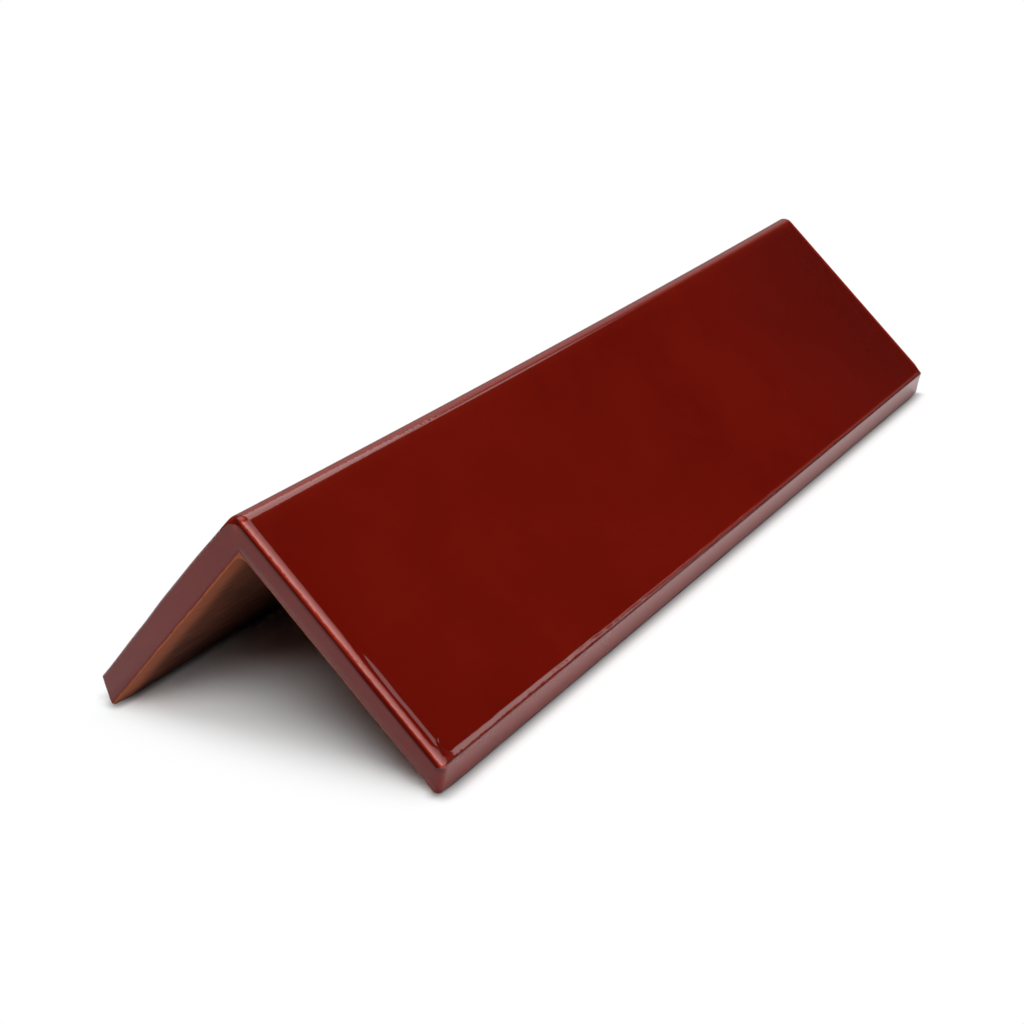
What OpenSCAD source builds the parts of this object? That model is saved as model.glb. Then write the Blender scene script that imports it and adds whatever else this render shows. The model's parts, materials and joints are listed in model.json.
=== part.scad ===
// Verge roof tile: one fired clay angle with two equal legs, glazed on the outside.
// It lies on its two feet. +Y runs along the ridge and +Z is up.
// The origin is on the ground, midway between the feet and midway along the ridge.

/* [Tile] */
// Length along the ridge
tile_len = 400; // [100:1:600]
// Width of a leg, from the sharp ridge to the sharp outer corner of its foot
leg_w = 99; // [60:1:160]
// Thickness of the clay
wall_t = 10.5; // [8:0.5:16]
// Angle between the two legs
apex_angle = 89; // [70:1:120]
// How far the inner corner of a foot stands past its outer corner
foot_lean = 6.5; // [0:0.5:8]

/* [Ridge] */
// Rounding on the outside of the ridge
ridge_r = 4.5; // [3:0.5:12]
// Fillet on the inside of the ridge
throat_r = 3; // [1:0.5:10]

/* [Edges] */
// Rounding of the edges round each end face
edge_r = 1.25; // [0.5:0.25:2.75]
// How much rounder than that the corners of a foot are
foot_extra_r = 0.25; // [0.25:0.25:0.75]

/* [Hidden] */
glaze_red = [0.36, 0.07, 0.04];

// Flats that make up each rounding
ridge_flats = 6;
foot_flats = 5;
edge_flats = 5;

foot_r = edge_r + foot_extra_r;

// Directions in the section, in degrees up from +X, of the right leg's three face normals
half = apex_angle / 2;
outer_dir = half;
foot_dir = half - 90 + atan(foot_lean / wall_t);
inner_dir = half - 180;

down_leg = [sin(half), -cos(half)];
out_of_leg = [cos(half), sin(half)];
outer_turn = outer_dir - foot_dir;
inner_turn = foot_dir - inner_dir;

// How far along the leg the centre of each foot corner lies from the sharp ridge
outer_reach = leg_w - foot_r * tan(outer_turn / 2);
inner_reach = leg_w + foot_lean - foot_r * tan(inner_turn / 2);

// Centres of the four roundings of the right half, measured from the sharp ridge
ridge_centre = [0, -ridge_r / sin(half)];
outer_centre = outer_reach * down_leg - foot_r * out_of_leg;
inner_centre = inner_reach * down_leg - (wall_t - foot_r) * out_of_leg;
throat_centre = [0, -(wall_t + throat_r) / sin(half)];

// Points along an arc about a centre, from one direction to another
function arc(centre, r, from, to, flats) = [
    for (i = [0:flats])
        let (a = from + (to - from) * i / flats)
            centre + r * [cos(a), sin(a)]
];

// Outline of the right half, from the ridge round the foot to the throat.
// Every face is set in by the same inset, and every arc keeps its centre.
function half_outline(inset) = concat(
    arc(ridge_centre, ridge_r - inset, 90, outer_dir, ridge_flats),
    arc(outer_centre, foot_r - inset, outer_dir, foot_dir, foot_flats),
    arc(inner_centre, foot_r - inset, foot_dir, inner_dir, foot_flats),
    arc(throat_centre, throat_r + inset, outer_dir, 90, ridge_flats)
);

// The left half runs back up from the throat, without the two points on the centre line
function mirrored(half_points) = [
    for (i = [len(half_points) - 2:-1:1])
        [-half_points[i].x, half_points[i].y]
];

function outline(inset) = concat(half_outline(inset), mirrored(half_outline(inset)));

// Height of the sharp ridge with the feet on the ground
ridge_z = -min([for (p = outline(0)) p.y]);

// The outline at one step of an end's rounding: step 0 is the flat end face.
// End is -1 for the end at -Y and 1 for the end at +Y.
function ring(end, step) =
    let (a = 90 * step / edge_flats)
    let (y = end * (tile_len / 2 - edge_r * (1 - cos(a))))
        [for (p = outline(edge_r * (1 - sin(a)))) [p.x, y, ridge_z + p.y]];

rings = concat(
    [for (step = [0:edge_flats]) ring(-1, step)],
    [for (step = [edge_flats:-1:0]) ring(1, step)]
);
ring_size = len(rings[0]);
last_start = (len(rings) - 1) * ring_size;

near_face = [for (i = [0:ring_size - 1]) i];
far_face = [for (i = [ring_size - 1:-1:0]) last_start + i];
side_faces = [
    for (r = [0:len(rings) - 2], i = [0:ring_size - 1])
        let (this = r * ring_size, next = this + ring_size, j = (i + 1) % ring_size)
            [this + j, this + i, next + i, next + j]
];

// The fired angle with all its edges rounded
module verge_tile() {
    color(glaze_red)
        polyhedron(
            points = [for (r = rings, p = r) p],
            faces = concat([near_face, far_face], side_faces)
        );
}

verge_tile();
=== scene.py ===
"""A verge roof tile of glazed, fired clay, with bare clay inside, in a plain studio."""

import json
import math
from dataclasses import dataclass

import bmesh
import bpy
from bpy.props import FloatProperty, FloatVectorProperty, IntProperty, PointerProperty
from mathutils import Matrix, Vector, noise


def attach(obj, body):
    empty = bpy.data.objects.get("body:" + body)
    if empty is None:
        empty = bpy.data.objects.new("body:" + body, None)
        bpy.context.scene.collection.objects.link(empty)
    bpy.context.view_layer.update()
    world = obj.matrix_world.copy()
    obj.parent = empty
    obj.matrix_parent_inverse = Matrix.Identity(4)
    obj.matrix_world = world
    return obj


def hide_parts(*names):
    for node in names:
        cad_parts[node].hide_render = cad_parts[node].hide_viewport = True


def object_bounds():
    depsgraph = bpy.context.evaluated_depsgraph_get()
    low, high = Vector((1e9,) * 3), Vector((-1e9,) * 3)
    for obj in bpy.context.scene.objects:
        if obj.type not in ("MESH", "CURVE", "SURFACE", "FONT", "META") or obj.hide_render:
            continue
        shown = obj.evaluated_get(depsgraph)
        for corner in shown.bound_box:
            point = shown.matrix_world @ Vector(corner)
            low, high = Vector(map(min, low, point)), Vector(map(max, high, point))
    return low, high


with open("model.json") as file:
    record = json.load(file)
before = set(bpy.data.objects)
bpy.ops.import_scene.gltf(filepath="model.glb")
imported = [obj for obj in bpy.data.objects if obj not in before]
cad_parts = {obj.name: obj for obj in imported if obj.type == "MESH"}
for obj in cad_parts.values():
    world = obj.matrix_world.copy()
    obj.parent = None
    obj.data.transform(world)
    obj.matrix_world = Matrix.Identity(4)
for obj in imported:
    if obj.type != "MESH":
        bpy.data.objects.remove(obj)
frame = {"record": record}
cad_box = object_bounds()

bl_info = {
    "name": "Verge roof tile",
    "version": (1, 0, 0),
    "blender": (4, 5, 0),
    "location": "3D View > Sidebar > Verge tile",
    "description": "Makes a glazed clay verge tile and the studio it lies in",
    "category": "Add Mesh",
}

MM = 0.001
ALONG = Vector((0, 1, 0))
UP = Vector((0, 0, 1))


# ---------------------------------------------------------------------------------------------
# The tile's section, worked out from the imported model


@dataclass
class Section:
    """The right half of the tile's section. Distances are in metres, and angles in radians up from +X."""

    half_angle: float  # also the direction that the outer face looks in
    foot_dir: float  # direction that the foot's face looks in
    inner_dir: float  # direction that the inner face looks in
    down: Vector  # down the leg
    out: Vector  # out of the leg's outer face
    apex: Vector  # the sharp ridge
    leg: float  # from the sharp ridge to the sharp outer corner of the foot
    inner_leg: float  # from the sharp ridge to the sharp inner corner of the foot, along the leg
    wall: float
    half_length: float
    foot_lean: float
    ridge_round: float

    def along(self, place):
        """How far down its leg a place lies from the sharp ridge."""
        return (Vector((abs(place.x), 0, place.z)) - self.apex).dot(self.down)

    def depth(self, place):
        """How deep a place lies under the sharp outer face."""
        return (self.apex - Vector((abs(place.x), 0, place.z))).dot(self.out)

    def from_end(self, place):
        """How far a place lies from the nearer end of the tile."""
        return self.half_length - abs(place.y)

    def to_foot(self, place):
        """How far above the foot's face a place lies, down its leg."""
        return self.leg + self.foot_lean * self.depth(place) / self.wall - self.along(place)

    def outer_side(self, place):
        """How deep a place lies under the rounded outer side, and the direction out of that side."""
        side = math.copysign(1, place.x)
        centre = self.apex.z - self.ridge_round / math.sin(self.half_angle)
        spoke = Vector((place.x, 0, place.z - centre))
        if spoke.z > abs(spoke.x) * math.tan(self.half_angle):
            return self.ridge_round - spoke.length, spoke.normalized()
        return self.depth(place), Vector((self.out.x * side, 0, self.out.z))

    def rim_side(self, place, corner):
        """The same for the outer side and the foot's face together, rounded widely where they meet."""
        to_foot = self.to_foot(place) * math.cos(math.atan(self.foot_lean / self.wall))
        depth, outward = self.outer_side(place)
        if max(depth, to_foot) > corner or place.z > 0.5 * self.apex.z:
            return (depth, outward) if depth < to_foot else (to_foot, self.foot_side(place))
        inwards = (corner - depth) * outward + (corner - to_foot) * self.foot_side(place)
        return min(depth, to_foot), inwards.normalized()

    def foot_side(self, place):
        """The direction out of the foot's face."""
        side = math.copysign(1, place.x)
        return Vector((math.cos(self.foot_dir) * side, 0, math.sin(self.foot_dir)))


def direction(angle):
    return Vector((math.cos(angle), 0, math.sin(angle)))


def tile_section(sizes):
    """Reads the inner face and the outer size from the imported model, and adds the wall and the foot."""
    seat = next(m for m in frame["record"]["mounts"] if m["name"] == "seat_right")
    highest = cad_box[1]
    out = -Vector(seat["axis"])
    half_angle = math.atan2(out.z, out.x)
    down = direction(half_angle - math.pi / 2)
    foot_dir = half_angle - math.pi / 2 + math.atan(sizes.foot_lean / sizes.wall)
    outer_plane = out.dot(Vector(seat["pos_m"])) + sizes.wall
    apex = UP * (outer_plane / math.sin(half_angle))
    arris = sizes.arris_round
    widest = highest.x - sizes.lip_height * out.x
    reach = (widest - arris + arris * math.cos(half_angle)) / math.sin(half_angle)
    leg = reach + arris * math.tan((half_angle - foot_dir) / 2)
    return Section(
        half_angle=half_angle,
        foot_dir=foot_dir,
        inner_dir=half_angle - math.pi,
        down=down,
        out=out,
        apex=apex,
        leg=leg,
        inner_leg=leg + sizes.foot_lean,
        wall=sizes.wall,
        half_length=highest.y,
        foot_lean=sizes.foot_lean,
        ridge_round=sizes.ridge_round,
    )


# ---------------------------------------------------------------------------------------------
# The fired shape


def spun_arc(bm, centre, radius, start, end, steps):
    """An arc in the section, from one direction to another, as its first and last points."""
    first = bm.verts.new(centre + radius * direction(start))
    made = bmesh.ops.spin(
        bm, geom=[first], cent=centre, axis=ALONG, angle=start - end, steps=steps, use_duplicate=False
    )
    last = next(v for v in made["geom_last"] if isinstance(v, bmesh.types.BMVert))
    return first, last


def half_outline(bm, part, sizes):
    """The outline of the right half, from the ridge round the foot to the throat."""
    foot, arris = sizes.foot_round, sizes.arris_round
    outer_turn = part.half_angle - part.foot_dir
    inner_turn = part.foot_dir - part.inner_dir
    outer_reach = part.leg - arris * math.tan(outer_turn / 2)
    inner_reach = part.inner_leg - foot * math.tan(inner_turn / 2)
    ridge_centre = part.apex - UP * sizes.ridge_round / math.sin(part.half_angle)
    outer_centre = part.apex + outer_reach * part.down - arris * part.out
    inner_centre = part.apex + inner_reach * part.down - (part.wall - foot) * part.out
    throat_centre = part.apex - UP * (part.wall + sizes.throat_round) / math.sin(part.half_angle)
    top = math.pi / 2
    arcs = [
        spun_arc(bm, ridge_centre, sizes.ridge_round, top, part.half_angle, sizes.ridge_steps),
        spun_arc(bm, outer_centre, arris, part.half_angle, part.foot_dir, sizes.foot_steps),
        spun_arc(bm, inner_centre, foot, part.foot_dir, part.inner_dir, sizes.foot_steps),
        spun_arc(bm, throat_centre, sizes.throat_round, part.half_angle, top, sizes.throat_steps),
    ]
    for (_, end), (start, _) in zip(arcs, arcs[1:]):
        bm.edges.new((end, start))


def everything(bm):
    return bm.verts[:] + bm.edges[:] + bm.faces[:]


def fired_blank(part, sizes):
    """The plain angle with all its edges rounded."""
    bm = bmesh.new()
    half_outline(bm, part, sizes)
    bmesh.ops.mirror(bm, geom=everything(bm), axis="X", merge_dist=0.01 * MM)
    bmesh.ops.contextual_create(bm, geom=bm.edges[:])
    bmesh.ops.translate(bm, verts=bm.verts[:], vec=-ALONG * part.half_length)
    drawn = bmesh.ops.extrude_face_region(bm, geom=bm.faces[:])
    far = [v for v in drawn["geom"] if isinstance(v, bmesh.types.BMVert)]
    bmesh.ops.translate(bm, verts=far, vec=ALONG * 2 * part.half_length)
    bmesh.ops.recalc_face_normals(bm, faces=bm.faces[:])
    rims = [e for e in bm.edges if abs(e.verts[0].co.y - e.verts[1].co.y) < MM]
    bmesh.ops.bevel(
        bm, geom=rims, offset=sizes.edge_round, offset_type="OFFSET", affect="EDGES",
        segments=sizes.edge_steps, profile=0.5, material=-1, clamp_overlap=False,
    )
    return bm


def cut(bm, faces, point, normal):
    """Cuts these faces along a plane."""
    edges = {e for f in faces for e in f.edges}
    verts = {v for f in faces for v in f.verts}
    bmesh.ops.bisect_plane(
        bm, geom=[*verts, *edges, *faces], dist=0.01 * MM, plane_co=point, plane_no=normal
    )


def spaced(start, end, step):
    """Evenly spaced places from start to end, no further apart than step."""
    count = math.ceil((end - start) / step)
    return [start + (end - start) * i / count for i in range(count + 1)]


def net_over(bm, part, sizes):
    """Cuts the blank into a net that is fine near the edges, where the glaze rolls over them."""
    fine, coarse, reach = sizes.fine_net, sizes.coarse_net, sizes.glaze_reach
    cut(bm, bm.faces[:], Vector(), Vector((1, 0, 0)))
    foot_start = part.leg - sizes.arris_round * math.tan((part.half_angle - part.foot_dir) / 2)
    ridge_end = sizes.ridge_round * math.tan((math.pi / 2 - part.half_angle) / 2)
    fine_start = foot_start - reach
    downs = spaced(ridge_end, fine_start, coarse) + spaced(fine_start, foot_start, fine)[1:-1]
    depths = spaced(sizes.edge_round, part.wall - sizes.edge_round, coarse)
    for side in (-1, 1):
        mirrored = Matrix.Diagonal((side, 1, 1))
        planes = [(part.apex + s * part.down, part.down) for s in downs[1:]]
        planes += [(part.apex - d * part.out, part.out) for d in depths]
        for point, normal in planes:
            half = [f for f in bm.faces if f.calc_center_median().x * side > 0]
            cut(bm, half, mirrored @ point, mirrored @ normal)
    first = part.half_length - sizes.edge_round
    for y in spaced(first - reach, first, fine)[:-1]:
        for end in (-1, 1):
            cut(bm, bm.faces[:], ALONG * y * end, ALONG)
    long_edges = [e for e in bm.edges if e.calc_length() > part.half_length]
    cuts = round(long_edges[0].calc_length() / coarse) - 1
    bmesh.ops.subdivide_edges(bm, edges=long_edges, cuts=cuts, use_grid_fill=True)


# ---------------------------------------------------------------------------------------------
# What drying, trimming, glazing and firing do to the shape

ROLL_DEPTH = 5 * MM  # how deep under the outer side the roll at an end reaches
BEAD_START = 3.8 * MM  # from the near end to where the bead of glaze starts to rise
BEAD_TOP = 5.6 * MM  # to where it stands highest
BEAD_END = 8.0 * MM  # to where it has run out into the face


def soft_rise(x, start, end):
    """0 up to start and 1 from end on, smooth between them."""
    t = min(max((x - start) / (end - start), 0.0), 1.0)
    return t * t * (3 - 2 * t)


def ragged(place, grain, seed):
    """An uneven number from about -1 to 1 that changes over about the grain size."""
    spot = place / grain + Vector((seed, seed * 0.7, seed * 1.3))
    return noise.noise(spot) + 0.5 * noise.noise(spot * 2.3)


def spread(x, blank, rim, reach):
    """Spreads the blank's rounding over a wider rim, and squeezes what follows it, up to the reach."""
    if x < blank:
        return x * rim / blank
    if x < reach:
        return rim + (x - blank) * (reach - rim) / (reach - blank)
    return x


def roll_rims(bm, part, sizes):
    """Rolls the outer side over into the end faces: widely at the near end, half that on its left."""
    blank = sizes.edge_round
    for v in bm.verts:
        depth, outward = part.rim_side(v.co, sizes.near_rim)
        if v.co.y < 0:
            share = 0.5 + 0.5 * soft_rise(v.co.x, -6 * MM, 0)
            rim, rim_depth = sizes.near_rim * share, sizes.near_rim_depth * share
        else:
            by_foot = 1 - soft_rise(part.to_foot(v.co), 0, 6 * MM)
            rim = rim_depth = sizes.far_rim * (1 + 1.2 * by_foot)
        inner = soft_rise(part.depth(v.co), part.wall - 5 * MM, part.wall - 2 * MM)
        weight = (1 - 0.45 * inner) * (1 - soft_rise(depth, ROLL_DEPTH, ROLL_DEPTH + 1 * MM))
        from_end = part.from_end(v.co)
        inward = (spread(from_end, blank, rim, blank + sizes.glaze_reach) - from_end) * weight
        deeper = (spread(depth, blank, rim_depth, ROLL_DEPTH) - depth) * weight
        v.co -= outward * deeper + ALONG * math.copysign(inward, v.co.y)


def edge_wander(place):
    """How unevenly the glaze runs along the edges here."""
    return ragged(place, 9 * MM, 3.1) * 0.3 * MM + ragged(place, 3.5 * MM, 7.7) * 0.2 * MM


def edge_height(from_edge, footward, gathered, place, part, sizes):
    """The bead of glaze beside the near rim. It turns the corner and becomes the roll along the foot."""
    wander = edge_wander(place)
    narrowing = 1 - 0.4 * soft_rise(place.y, -0.9 * part.half_length, 0)
    roll = sizes.lip_height if place.x > 0 else 0.2 * sizes.lip_height
    roll *= soft_rise(part.half_length - place.y, 0, 6 * MM)
    bead_width, roll_width = BEAD_END - BEAD_TOP, sizes.lip_width * narrowing + wander
    width = bead_width * (1 - footward) + roll_width * footward
    start = (BEAD_TOP - 0.6 * wander) * (1 - footward)
    run_out = min(max((from_edge - start) / width, 0.0), 1.0)
    bead = sizes.bead_height * gathered
    beside_rim = 1 - soft_rise(from_edge + wander, BEAD_START, BEAD_TOP)
    bead_top = bead * (1 - soft_rise(run_out, 0, 1)) * (1 - footward)
    roll_top = roll * (1 - run_out) * (1 + 0.3 * run_out) * footward
    return bead_top + roll_top - bead * (1 + beside_rim * (1 - footward))


def glaze_height(place, part, sizes):
    """How far the glaze stands out of the blank: belly, sunk middle, and what runs along the edges."""
    outer = 1 - soft_rise(part.depth(place), 0.8 * MM, 3.0 * MM)
    if outer <= 0:
        return 0.0
    along, from_end, to_foot = part.along(place), part.from_end(place), part.to_foot(place)
    halfway = soft_rise(along, 8 * MM, 30 * MM) * soft_rise(to_foot, 1 * MM, 30 * MM)
    belly = sizes.left_belly * halfway if place.x < 0 else 0.0
    sink = sizes.glaze_sink * soft_rise(from_end, 3.5 * MM, 9 * MM) * soft_rise(along, 20 * MM, 45 * MM)
    corner = sizes.corner_round
    near_rim_side = max(corner - part.half_length - place.y, 0.0)
    foot_side = max(corner - to_foot, 0.0)
    from_edge = max(corner - math.hypot(near_rim_side, foot_side), 0.0)
    # 0 beside the near rim, 1 beside the foot, and between them round the corner
    footward = soft_rise(math.atan2(foot_side, near_rim_side), 0, math.pi / 2) if foot_side > 0 else 0.0
    near_half = 1 - soft_rise(place.y, -0.8 * part.half_length, 0)
    gathered = soft_rise(along, 0.5 * part.leg, 0.68 * part.leg) * near_half
    return outer * (belly - sink + edge_height(from_edge, footward, gathered, place, part, sizes))


def clay_height(place, part, sizes):
    """How far the bare clay inside stands out of the blank. Its ends are trimmed back a little."""
    inner = soft_rise(part.depth(place), part.wall - 2.2 * MM, part.wall - 0.8 * MM)
    if inner <= 0:
        return 0.0
    trimmed = 1 - soft_rise(part.from_end(place), 1.5 * MM, sizes.trim_width)
    waves = 0.12 * MM * ragged(place, 18 * MM, 1.9)
    return -inner * (sizes.trim_depth * trimmed + abs(waves))


def fired_surface(bm, part, sizes):
    """Moves every point of the net to the finished surface, and lets the ridge sag between the ends."""
    roll_rims(bm, part, sizes)
    bm.normal_update()
    moves = []
    for v in bm.verts:
        _, outward = part.outer_side(v.co)
        glaze, clay = glaze_height(v.co, part, sizes), clay_height(v.co, part, sizes)
        moves.append((v, outward * glaze + v.normal * clay))
    for v, move in moves:
        v.co += move
    ridge_height = part.apex.z
    for v in bm.verts:
        along = v.co.y / part.half_length
        v.co.z -= sizes.ridge_sag * (1 - along * along) * v.co.z / ridge_height
    lowest = min(v.co.z for v in bm.verts)
    bmesh.ops.translate(bm, verts=bm.verts[:], vec=UP * (cad_box[0].z - lowest))


def verge_tile_mesh(part, sizes):
    bm = fired_blank(part, sizes)
    net_over(bm, part, sizes)
    fired_surface(bm, part, sizes)
    bmesh.ops.triangulate(bm, faces=[f for f in bm.faces if len(f.verts) > 4])
    for face in bm.faces:
        face.smooth = True
    mesh = bpy.data.meshes.new("verge_tile_glazed")
    bm.to_mesh(mesh)
    bm.free()
    return mesh


# ---------------------------------------------------------------------------------------------
# Shader maths


class Number:
    """A number that changes over a surface. Arithmetic on it adds the Math nodes that work it out."""

    def __init__(self, nodes, socket):
        self.nodes = nodes
        self.socket = socket

    def math(self, operation, *values):
        inputs = dict(enumerate([self, *values]))
        return self.nodes.number("ShaderNodeMath", {"operation": operation}, inputs)

    def __add__(self, other):
        return self.math("ADD", other)

    def __sub__(self, other):
        return self.math("SUBTRACT", other)

    def __rsub__(self, other):
        return (self * -1).math("ADD", other)

    def __mul__(self, other):
        return self.math("MULTIPLY", other)

    def __truediv__(self, other):
        return self.math("DIVIDE", other)

    __radd__ = __add__
    __rmul__ = __mul__

    def size(self):
        return self.math("ABSOLUTE")

    def least(self, other):
        return self.math("MINIMUM", other)

    def most(self, other):
        return self.math("MAXIMUM", other)

    def step(self, start, end):
        """0 up to start and 1 from end on, smooth between them."""
        settings = {"interpolation_type": "SMOOTHSTEP"}
        return self.nodes.number("ShaderNodeMapRange", settings, {0: self, 1: start, 2: end})

    def span(self, low, high):
        """This number, from 0 to 1, spread from low to high."""
        return self * (high - low) + low


class Nodes:
    """Adds nodes to a material or a world."""

    def __init__(self, tree):
        self.tree = tree
        tree.nodes.clear()

    def add(self, kind, settings, inputs):
        """One node: its settings are made first, then each input gets a value or a link."""
        node = self.tree.nodes.new(kind)
        for name, value in settings.items():
            setattr(node, name, value)
        for key, value in inputs.items():
            value = getattr(value, "socket", value)
            if isinstance(value, bpy.types.NodeSocket):
                self.tree.links.new(value, node.inputs[key])
            else:
                node.inputs[key].default_value = value
        return node

    def number(self, kind, settings, inputs, output=0):
        return Number(self, self.add(kind, settings, inputs).outputs[output])

    def mix(self, factor, first, second):
        """A colour between two colours."""
        settings = {"data_type": "RGBA"}
        return self.add("ShaderNodeMix", settings, {0: factor, 6: first, 7: second}).outputs[2]

    def grain(self, where, scale, detail=2.0, roughness=0.5, distortion=0.0):
        """Fractal noise from 0 to 1, with so many lumps in a metre."""
        inputs = {
            "Vector": where, "Scale": scale, "Detail": detail,
            "Roughness": roughness, "Distortion": distortion,
        }
        return self.number("ShaderNodeTexNoise", {}, inputs)

    def axes(self, vector):
        split = self.add("ShaderNodeSeparateXYZ", {}, {0: vector})
        return [Number(self, s) for s in split.outputs]


def colour(values):
    return (*values, 1.0)


# ---------------------------------------------------------------------------------------------
# Glaze and clay


@dataclass
class Spot:
    """Where a point of the surface lies, and the grain there. Distances are in metres.

    Its methods give how much an edge shows here, from 0 to 1.
    """

    where: bpy.types.NodeSocket
    right: Number  # 0 on the left leg and 1 on the right one
    far: Number  # rises from 0 to 1 towards the far end
    along: Number  # down the leg from the sharp ridge
    depth: Number  # under the outer face
    from_end: Number
    to_foot: Number
    lumps: Number
    pits: Number
    streaks: Number  # drawn out along the tile

    def at_rim(self):
        return 1 - self.from_end.step(1.0 * MM, 3.4 * MM)

    def at_lip(self):
        return 1 - self.to_foot.step(0.8 * MM, 2.6 * MM)

    def at_ridge(self):
        return (1 - self.along.step(3 * MM, 6 * MM)) * 0.4 + (1 - self.along.step(4 * MM, 10 * MM)) * 0.08

    def near_outside(self):
        return 1 - self.depth.step(1.0 * MM, 1.8 * MM)


def find_spot(nodes, part):
    """Works out a Spot from the piece's own coordinates."""
    where = nodes.add("ShaderNodeTexCoord", {}, {}).outputs["Object"]
    x, y, z = nodes.axes(where)
    across, drop = x.size(), part.apex.z - z
    along = across * part.down.x + drop * -part.down.z
    depth = drop * part.out.z - across * part.out.x
    drawn = nodes.add("ShaderNodeMapping", {}, {"Vector": where, "Scale": (1.0, 0.12, 1.0)}).outputs[0]
    return Spot(
        where=where,
        right=x.step(-6 * MM, 2 * MM),
        far=y.step(60 * MM, 200 * MM),
        along=along,
        depth=depth,
        from_end=part.half_length - y.size(),
        to_foot=part.leg - along + depth * (part.foot_lean / part.wall),
        lumps=nodes.grain(where, 260, 3.0),
        pits=nodes.grain(where, 1500, 3.0, 0.6),
        streaks=nodes.grain(drawn, 420, 4.0, 0.6),
    )


def glaze_colour(nodes, spot, finish):
    """Cloudy red, with the paler red of thin glaze on the edges, which on the right rim, the lip and the
    ridge is also a painted highlight. Painted shade darkens it towards the far end, in a strip under the
    right rim's roll and in a line along the foot's arris.
    """
    clouds = nodes.grain(spot.where, 22, 3.0, 0.55)
    red = nodes.mix(clouds.step(0.3, 0.7), colour(finish.glaze_deep), colour(finish.glaze_red))
    # painted shade: the glaze is darkened towards the far end
    red = nodes.mix(spot.far * 0.6, red, colour(finish.glaze_painted_shade))
    # thin glaze, partly a painted highlight: on the right leg the paler red follows the rim and the lip, and
    # on both legs the ridge, where highlights fall
    at_foot_face = 1 - spot.to_foot.step(-0.5 * MM, 1.0 * MM)
    rim_thin_and_highlight = spot.at_rim().most(spot.at_lip() * 0.25) * spot.near_outside() * spot.right
    thin_and_highlight = rim_thin_and_highlight.most(at_foot_face * 0.4).most(spot.at_ridge())
    red = nodes.mix(thin_and_highlight * spot.lumps.step(0.1, 0.6).span(0.7, 1), red, colour(finish.thin_glaze_and_highlight))
    speckled = (1 - spot.from_end.step(0.1 * MM, 0.6 * MM)) * spot.pits.step(0.4, 0.65) * 0.12
    red = nodes.mix(speckled, red, colour(finish.thin_glaze_and_highlight))
    # painted shade: a dark strip under the right rim's roll and a dark line along the foot's arris
    under_roll = spot.depth.step(1.2 * MM, 1.9 * MM) * (1 - spot.depth.step(2.4 * MM, 3.4 * MM))
    painted_rim_shade = spot.at_rim() * under_roll * spot.right
    painted_arris_shade = (1 - spot.to_foot.step(0.2 * MM, 0.6 * MM)) * (1 - spot.depth.step(0.2 * MM, 0.6 * MM))
    return nodes.mix(painted_rim_shade.most(painted_arris_shade), red, colour(finish.glaze_painted_shade))


def clay_colour(nodes, spot, past_glaze, finish):
    """Streaky clay, with painted light: paler in a band inside each end, where light reaches in; burnt dark
    along the glaze.
    """
    # painted light: a paler band inside each open end
    jittered_from_end = spot.from_end + spot.lumps.span(-1.0, 1.0) * MM
    painted_end_light = (1 - jittered_from_end.step(3 * MM, 15 * MM)) * spot.streaks.span(0.6, 1.0)
    body = nodes.mix(spot.streaks.step(0.3, 0.75), colour(finish.clay_dark), colour(finish.clay))
    body = nodes.mix(painted_end_light, body, colour(finish.clay_painted_light))
    burnt = 1 - past_glaze.step(0.2 * MM, 0.7 * MM)
    return nodes.mix(burnt * 0.9, body, colour(finish.glaze_deep))


def fine_relief(nodes, spot, clay, finish):
    """The height of the glaze's ripples, stronger along the edges, and of the clay's grain."""
    run = (spot.at_rim().most(spot.at_lip()) * spot.near_outside()).most(spot.at_ridge())
    ripple = nodes.grain(spot.where, 900, 1.5, 0.4) * 0.6 + nodes.grain(spot.where, 160, 1.0) * 2.5
    edge_ripple = nodes.grain(spot.where, 650, 1.5, 0.4) * finish.edge_ripple
    glaze_relief = ripple * finish.glaze_ripple + edge_ripple * run
    clay_relief = (spot.streaks * 0.6 + spot.pits * 0.4) * finish.clay_grain
    return glaze_relief * (1 - clay) + clay_relief * clay


def glazed_clay(part, sizes, finish):
    """Deep red glaze over the outside and the ends, with the bare clay showing on the inside."""
    material = bpy.data.materials.new("glazed_clay")
    material.use_nodes = True
    nodes = Nodes(material.node_tree)
    spot = find_spot(nodes, part)
    sway = nodes.grain(spot.where, 45, 2.0).span(-0.4, 0.4) + spot.lumps.span(-0.35, 0.35)
    past_glaze = spot.depth + sway * MM - (part.wall - sizes.clay_edge)
    clay = past_glaze.step(-0.15 * MM, 0.15 * MM)
    base = nodes.mix(clay, glaze_colour(nodes, spot, finish), clay_colour(nodes, spot, past_glaze, finish))
    roughness = clay.span(finish.glaze_roughness, finish.clay_roughness)
    relief = fine_relief(nodes, spot, clay, finish)
    bump = nodes.add("ShaderNodeBump", {}, {"Strength": 1.0, "Distance": 1.0, "Height": relief}).outputs[0]
    surface = nodes.add(
        "ShaderNodeBsdfPrincipled", {},
        {"Base Color": base, "Roughness": roughness, "IOR": finish.glaze_ior, "Normal": bump},
    )
    nodes.add("ShaderNodeOutputMaterial", {}, {"Surface": surface.outputs[0]})
    return material


# ---------------------------------------------------------------------------------------------
# The studio


def new_object(name, data):
    obj = bpy.data.objects.new(name, data)
    bpy.context.scene.collection.objects.link(obj)
    return obj


def plain_material(name, build):
    material = bpy.data.materials.new(name)
    material.use_nodes = True
    nodes = Nodes(material.node_tree)
    nodes.add("ShaderNodeOutputMaterial", {}, {"Surface": build(nodes)})
    return material


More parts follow.
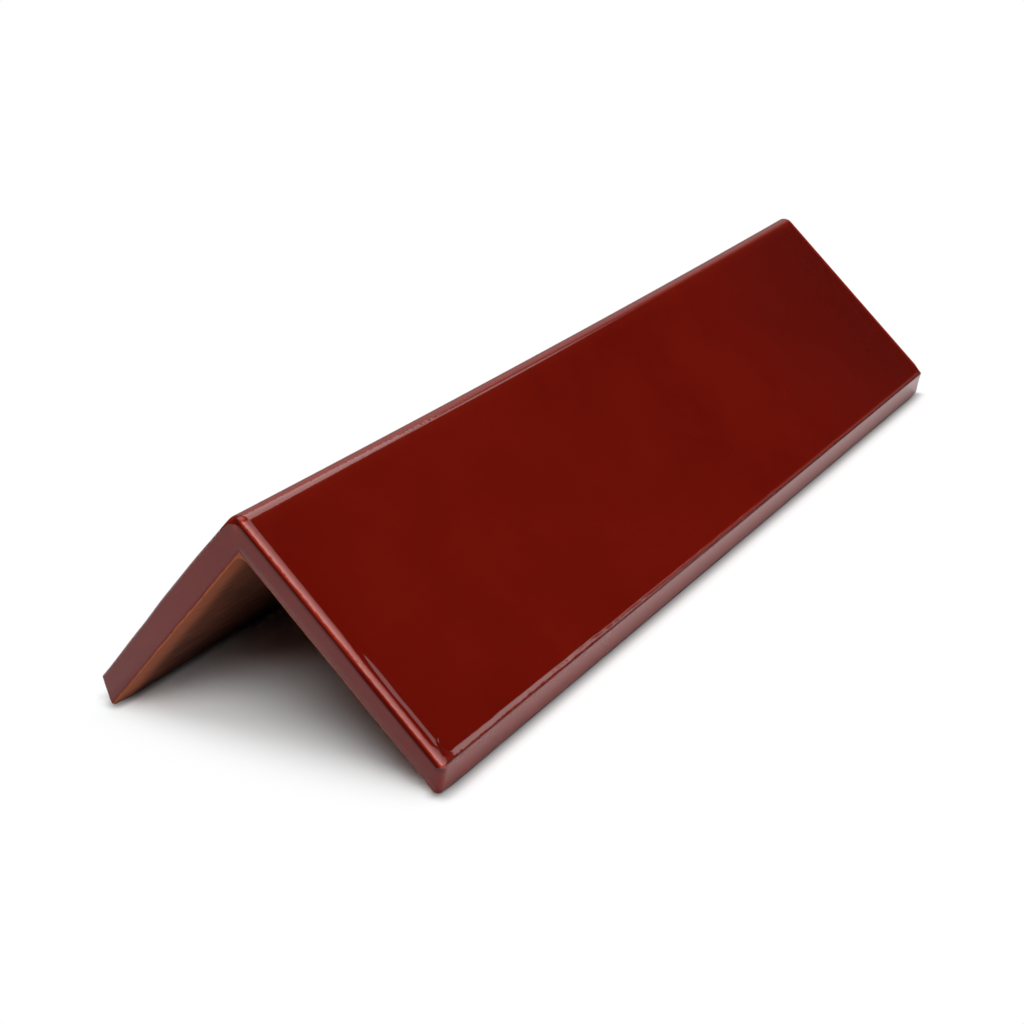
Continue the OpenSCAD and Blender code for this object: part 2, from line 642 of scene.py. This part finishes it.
def floor_paint(nodes):
    """White: lit near the tile, to take its shadow, with a painted shadow under and just outside the feet,
    and plain white further off.
    """
    where = nodes.add("ShaderNodeTexCoord", {}, {}).outputs["Object"]
    x, y, _ = nodes.axes(where)
    past_side, past_end = x.size() - cad_box[1].x, y.size() - cad_box[1].y
    rays = nodes.add("ShaderNodeLightPath", {}, {}).outputs
    seen = Number(nodes, rays["Is Camera Ray"])
    glossy, clear = Number(nodes, rays["Is Glossy Ray"]), Number(nodes, rays["Is Transmission Ray"])
    mirrored = (glossy + clear).least(1)
    # painted shadow: the floor is painted darker under and just outside both feet
    painted_foot_shadow = past_side.step(-9 * MM, -4 * MM) * (1 - past_side.step(-5 * MM, 2.5 * MM))
    painted_foot_shadow = painted_foot_shadow * (1 - past_end.step(-2 * MM, 3 * MM))
    floor_with_painted_shadow = nodes.mix(painted_foot_shadow * 0.8, colour((0.975, 0.995, 1)), colour((0, 0, 0)))
    lit = nodes.add("ShaderNodeBsdfDiffuse", {}, {"Color": floor_with_painted_shadow}).outputs[0]
    white = nodes.add("ShaderNodeEmission", {}, {"Color": colour((1, 1, 1)), "Strength": 1.0}).outputs[0]
    beyond = past_side.step(2 * MM, 10 * MM).most(past_end.step(-12 * MM, 22 * MM))
    far_off = past_side.most(past_end).step(5 * MM, 120 * MM)
    factor = seen * beyond + mirrored * far_off
    return nodes.add("ShaderNodeMixShader", {}, {0: factor, 1: lit, 2: white}).outputs[0]


def make_floor():
    bm = bmesh.new()
    bmesh.ops.create_circle(bm, cap_ends=True, radius=12.0, segments=64)
    mesh = bpy.data.meshes.new("studio_floor")
    bm.to_mesh(mesh)
    bm.free()
    floor = new_object("studio_floor", mesh)
    mesh.materials.append(plain_material("floor_white", floor_paint))


def screen_paint(nodes, stage):
    """Black cloth with a grey card on the left, a bright flap by the key light and a strip at the back."""
    where = nodes.add("ShaderNodeTexCoord", {}, {}).outputs["Object"]
    x, y, z = nodes.axes(where)
    azimuth = x.math("ARCTAN2", y)
    card = azimuth.step(*radians(-75, -45)) * (1 - azimuth.step(*radians(-20, 12)))
    height = z / stage.screen_distance
    card_fade = 0.18 + height * 0.95  # the card is darker towards its foot
    brightness = card * card_fade * stage.card_strength + stage.screen_level
    flap = azimuth.step(*radians(90, 100)) * (1 - azimuth.step(*radians(128, 138))) * height.step(0.3, 0.5)
    strip = azimuth.step(*radians(4, 9)) * (1 - azimuth.step(*radians(13, 18))) * height.step(0.6, 0.74)
    brightness = brightness + flap * stage.flap_strength + strip * (stage.back_strength * 0.7)
    glow = {"Color": colour((1, 1, 1)), "Strength": brightness}
    return nodes.add("ShaderNodeEmission", {}, glow).outputs[0]


def make_screen(stage):
    """A dark screen round the tile, for its glaze to mirror. The camera looks through it."""
    bm = bmesh.new()
    radius = stage.screen_distance
    bmesh.ops.create_circle(bm, cap_ends=False, radius=radius, segments=128)
    drawn = bmesh.ops.extrude_edge_only(bm, edges=bm.edges[:])
    top = [v for v in drawn["geom"] if isinstance(v, bmesh.types.BMVert)]
    bmesh.ops.translate(bm, verts=top, vec=UP * radius * math.tan(stage.screen_elevation))
    mesh = bpy.data.meshes.new("dark_screen")
    bm.to_mesh(mesh)
    bm.free()
    screen = new_object("dark_screen", mesh)
    mesh.materials.append(plain_material("screen_cloth", lambda nodes: screen_paint(nodes, stage)))
    screen.visible_camera = False


def radians(*degrees):
    return [math.radians(d) for d in degrees]


def compass(azimuth, elevation):
    """The direction at an azimuth, counted from +Y towards +X, and an elevation, both in degrees."""
    turn, climb = radians(azimuth, elevation)
    level = math.cos(climb)
    return Vector((math.sin(turn) * level, math.cos(turn) * level, math.sin(climb)))


def facing(nodes, looking, heading):
    """The cosine of the angle between a looking direction and a heading."""
    settings = {"operation": "DOT_PRODUCT"}
    return nodes.number("ShaderNodeVectorMath", settings, {0: looking, 1: heading}, "Value")


def soft_box(nodes, looking, azimuth, half_width, low, high):
    """1 in a patch of the sky and 0 round it, with soft edges. Angles are in degrees."""
    ahead = facing(nodes, looking, compass(azimuth, 0))
    beside = facing(nodes, looking, compass(azimuth + 90, 0))
    turned = beside.math("ARCTAN2", ahead).size()
    climb = facing(nodes, looking, UP).math("ARCSINE")
    across = 1 - turned.step(*radians(half_width - 6, half_width + 6))
    return across * climb.step(*radians(low, low + 3)) * (1 - climb.step(*radians(high, high + 6)))


def make_sky(stage):
    """White at the horizon, and the soft boxes of a studio above the dark screen."""
    world = bpy.data.worlds.new("studio")
    bpy.context.scene.world = world
    world.use_nodes = True
    nodes = Nodes(world.node_tree)
    looking = nodes.add("ShaderNodeTexCoord", {}, {}).outputs["Generated"]
    light = 1 - facing(nodes, looking, UP).step(*radians(20, 28))
    for strength, azimuth, half_width, low, high in (
        (stage.back_strength, 0, 32, 37, 46),
        (stage.side_strength, 60, 25, 37, 52),
        (stage.side_strength * 1.6, 95, 18, 37, 60),
        (stage.key_strength, 138, 27, 37, 64),
    ):
        light = light + soft_box(nodes, looking, azimuth, half_width, low, high) * strength
    overhead = facing(nodes, looking, compass(-85, 76)).math("ARCCOSINE")
    light = light + (1 - overhead.step(*radians(12, 32))) * stage.overhead_strength
    background = nodes.add("ShaderNodeBackground", {}, {"Color": colour((1, 1, 1)), "Strength": light})
    nodes.add("ShaderNodeOutputWorld", {}, {"Surface": background.outputs[0]})


def make_camera(stage):
    data = bpy.data.cameras.new("camera")
    data.lens = stage.lens
    data.clip_start = 0.01
    camera = new_object("camera", data)
    azimuth, elevation = stage.camera_azimuth, stage.camera_elevation
    level = math.cos(elevation)
    back = Vector((math.sin(azimuth) * level, -math.cos(azimuth) * level, math.sin(elevation)))
    side = Vector((math.cos(azimuth), math.sin(azimuth), 0))
    upright = Matrix((side, back.cross(side), back)).transposed()
    turned = upright @ Matrix.Rotation(stage.camera_roll, 3, "Z")
    target = Vector(stage.camera_target)
    camera.matrix_world = Matrix.Translation(target + back * stage.camera_distance) @ turned.to_4x4()
    bpy.context.scene.camera = camera
    bpy.context.scene.view_settings.view_transform = "Standard"


# ---------------------------------------------------------------------------------------------
# What a user can change


def length(name, description, millimetres):
    return FloatProperty(
        name=name, description=description, default=millimetres * MM,
        precision=5, subtype="DISTANCE", unit="LENGTH",
    )


def angle(name, description, degrees):
    return FloatProperty(
        name=name, description=description, default=math.radians(degrees),
        subtype="ANGLE", unit="ROTATION",
    )


def amount(name, description, value):
    return FloatProperty(name=name, description=description, default=value)


def flats(name, description, count, least):
    return IntProperty(name=name, description=description, default=count, min=least)


def paint(name, description, values):
    return FloatVectorProperty(
        name=name, description=description, default=values, size=3, min=0, max=1, subtype="COLOR"
    )


class TileSizes(bpy.types.PropertyGroup):
    wall: length("Wall", "Thickness of the clay", 10.5)
    foot_lean: length("Foot lean", "How far a foot's inner corner stands past its outer corner", 6.5)
    ridge_round: length("Ridge round", "Rounding of the ridge", 4.8)
    throat_round: length("Throat round", "Fillet under the ridge", 3)
    edge_round: length("Edge round", "Rounding of the blank round each end face", 1.0)
    near_rim: length("Near rim", "How far from the near end the outer side starts to roll over", 3.2)
    near_rim_depth: length("Near rim depth", "How deep the near end's roll reaches", 2.8)
    far_rim: length("Far rim", "Roll of the outer side into the far end face", 1.4)
    foot_round: length("Foot round", "Rounding of a foot's inner corner", 1.1)
    arris_round: length("Arris round", "Rounding of a foot's outer corner", 0.6)
    ridge_steps: flats("Ridge steps", "Flats on half of the ridge", 12, 3)
    foot_steps: flats("Foot steps", "Flats on a corner of a foot", 10, 3)
    throat_steps: flats("Throat steps", "Flats on half of the throat", 6, 2)
    edge_steps: flats("Edge steps", "Flats round an end face", 12, 2)
    fine_net: length("Fine net", "Spacing of the mesh near the edges", 0.4)
    coarse_net: length("Coarse net", "Spacing of the mesh on the faces", 2)
    glaze_reach: length("Glaze reach", "How far from an edge the glaze is uneven", 8)
    glaze_sink: length("Glaze sink", "How much lower the glaze lies on a face than near its ends", 0.2)
    corner_round: length("Corner round", "How widely the bead turns into the roll at the corner", 8)
    lip_height: length("Lip height", "Height of the roll of glaze along the right foot", 0.6)
    lip_width: length("Lip width", "Width of the roll of glaze along a foot", 2.4)
    bead_height: length("Bead height", "Height of the bead beside the near rim", 0.39)
    left_belly: length("Left belly", "How far the left leg's outer face stands out half way down", 0.4)
    clay_edge: length("Clay edge", "How far from the inner face the glaze ends on the end faces", 1.5)
    trim_width: length("Trim width", "Width of the trimmed band inside each end", 8.5)
    trim_depth: length("Trim depth", "Depth of the trimmed band inside each end", 0.5)
    ridge_sag: length("Ridge sag", "How far the ridge sags between the ends", 1.3)


class TileFinish(bpy.types.PropertyGroup):
    glaze_red: paint("Glaze", "Red of the glaze", (0.127, 0.0046, 0.0016))
    glaze_deep: paint("Deep glaze", "Red of the thicker glaze", (0.11, 0.0034, 0.0011))
    # thin glaze, and a painted highlight where it lies along the right rim, the lip and the ridge
    thin_glaze_and_highlight: paint("Thin glaze", "Red of the thin glaze on the corners", (0.31, 0.028, 0.012))
    # painted shade: darkens the glaze towards the far end, under the right rim's roll and along the foot's
    # arris
    glaze_painted_shade: paint("Thick glaze", "Red of the glaze where it gathers, and far off", (0.07, 0.003, 0.002))
    clay: paint("Clay", "Bare clay inside", (0.16, 0.034, 0.007))
    clay_dark: paint("Dark clay", "Darker streaks of the bare clay", (0.06, 0.012, 0.002))
    # painted light: the paler clay of the band inside each end
    clay_painted_light: paint("Wiped clay", "Clay wiped clean by the ends", (0.33, 0.085, 0.034))
    glaze_roughness: amount("Glaze roughness", "Roughness of the glaze", 0.06)
    clay_roughness: amount("Clay roughness", "Roughness of the clay", 0.9)
    glaze_ior: amount("Glaze index", "Refractive index of the glaze", 1.41)
    glaze_ripple: length("Glaze ripple", "Height of the ripples in the glaze", 0.004)
    edge_ripple: length("Edge ripple", "Height of the glaze's ripples along the edges", 0.09)
    clay_grain: length("Clay grain", "Height of the clay's grain", 0.12)


class Studio(bpy.types.PropertyGroup):
    lens: amount("Lens", "Focal length in millimetres", 62.52)
    camera_azimuth: angle("Azimuth", "Camera's turn from behind the near end towards +X", 33.55)
    camera_elevation: angle("Elevation", "Camera's height above the horizon", 22.08)
    camera_roll: angle("Roll", "Camera's roll", -3.98)
    camera_distance: length("Distance", "From the camera to what it looks at", 705.563)
    camera_target: FloatVectorProperty(
        name="Target", description="What the camera looks at", default=(-0.020217, -0.019574, 0.009034),
        subtype="XYZ", unit="LENGTH",
    )
    screen_distance: length("Screen distance", "From the tile to the dark screen", 8000)
    screen_elevation: angle("Screen height", "How high the dark screen reaches above the horizon", 40.4)
    screen_level: amount("Screen level", "Brightness of the dark screen", 0.02)
    card_strength: amount("Card", "Strength of the grey card on the left", 0.87)
    flap_strength: amount("Flap", "Strength of the flap under the key light", 2.2)
    overhead_strength: amount("Overhead light", "Strength of the light overhead", 2.35)
    back_strength: amount("Back light", "Strength of the light at the back", 3.05)
    side_strength: amount("Side light", "Strength of the lights on the right", 2.2)
    key_strength: amount("Key light", "Strength of the key light", 6.1)


# ---------------------------------------------------------------------------------------------
# The add-on


class MESH_OT_verge_tile(bpy.types.Operator):
    """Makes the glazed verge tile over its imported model"""

    bl_idname = "mesh.verge_tile"
    bl_label = "Verge tile"

    def execute(self, context):
        sizes = context.scene.tile_sizes
        part = tile_section(sizes)
        tile = new_object("verge_tile_glazed", verge_tile_mesh(part, sizes))
        tile.data.materials.append(glazed_clay(part, sizes, context.scene.tile_finish))
        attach(tile, "root")
        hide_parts("verge_tile")
        return {"FINISHED"}


class SCENE_OT_tile_studio(bpy.types.Operator):
    """Makes the floor, the screen, the lights and the camera"""

    bl_idname = "scene.tile_studio"
    bl_label = "Studio"

    def execute(self, context):
        stage = context.scene.tile_studio
        make_floor()
        make_screen(stage)
        make_sky(stage)
        make_camera(stage)
        return {"FINISHED"}


class VIEW3D_PT_verge_tile(bpy.types.Panel):
    bl_label = "Verge tile"
    bl_space_type = "VIEW_3D"
    bl_region_type = "UI"
    bl_category = "Verge tile"

    def draw(self, context):
        scene = context.scene
        for operator, groups in (
            (MESH_OT_verge_tile, (scene.tile_sizes, scene.tile_finish)),
            (SCENE_OT_tile_studio, (scene.tile_studio,)),
        ):
            box = self.layout.box()
            for group in groups:
                for name in group.__annotations__:
                    box.prop(group, name)
            box.operator(operator.bl_idname)


CLASSES = (TileSizes, TileFinish, Studio, MESH_OT_verge_tile, SCENE_OT_tile_studio, VIEW3D_PT_verge_tile)
GROUPS = {"tile_sizes": TileSizes, "tile_finish": TileFinish, "tile_studio": Studio}


def register():
    for cls in CLASSES:
        bpy.utils.register_class(cls)
    for name, group in GROUPS.items():
        setattr(bpy.types.Scene, name, PointerProperty(type=group))


def unregister():
    for name in GROUPS:
        delattr(bpy.types.Scene, name)
    for cls in reversed(CLASSES):
        bpy.utils.unregister_class(cls)


def main():
    register()
    bpy.ops.mesh.verge_tile()
    bpy.ops.scene.tile_studio()


if __name__ == "__main__":
    main()
